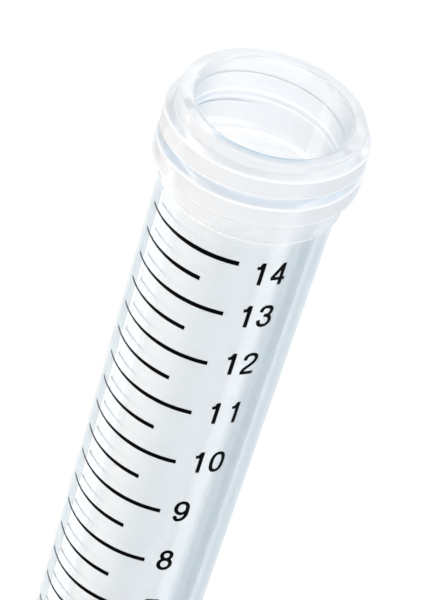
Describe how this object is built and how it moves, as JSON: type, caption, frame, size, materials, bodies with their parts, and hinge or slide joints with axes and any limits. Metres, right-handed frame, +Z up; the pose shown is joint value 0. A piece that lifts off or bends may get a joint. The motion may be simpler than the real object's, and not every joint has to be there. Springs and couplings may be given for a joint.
{
  "type": "conical centrifuge tube",
  "caption": "Clear plastic laboratory tube with a conical bottom, an open threaded neck and a printed volume scale, lying on its side.",
  "frame": {"origin": "middle of the tube's footprint, on the surface that it lies on", "axes": "+X along the tube from its tip to its mouth, +Z up; the tube's own axis rises by 1.3 degrees towards the mouth, because the thread is wider than the barrel"},
  "size_m": [0.1214, 0.0196, 0.0197],
  "materials": {
    "clear_plastic": "clear, faintly milky polypropylene with a smooth moulded gloss",
    "scale_ink": "thin black printed ink with a low sheen"
  },
  "bodies": {
    "root": {"tube": "clear_plastic"}
  },
  "joints": []
}
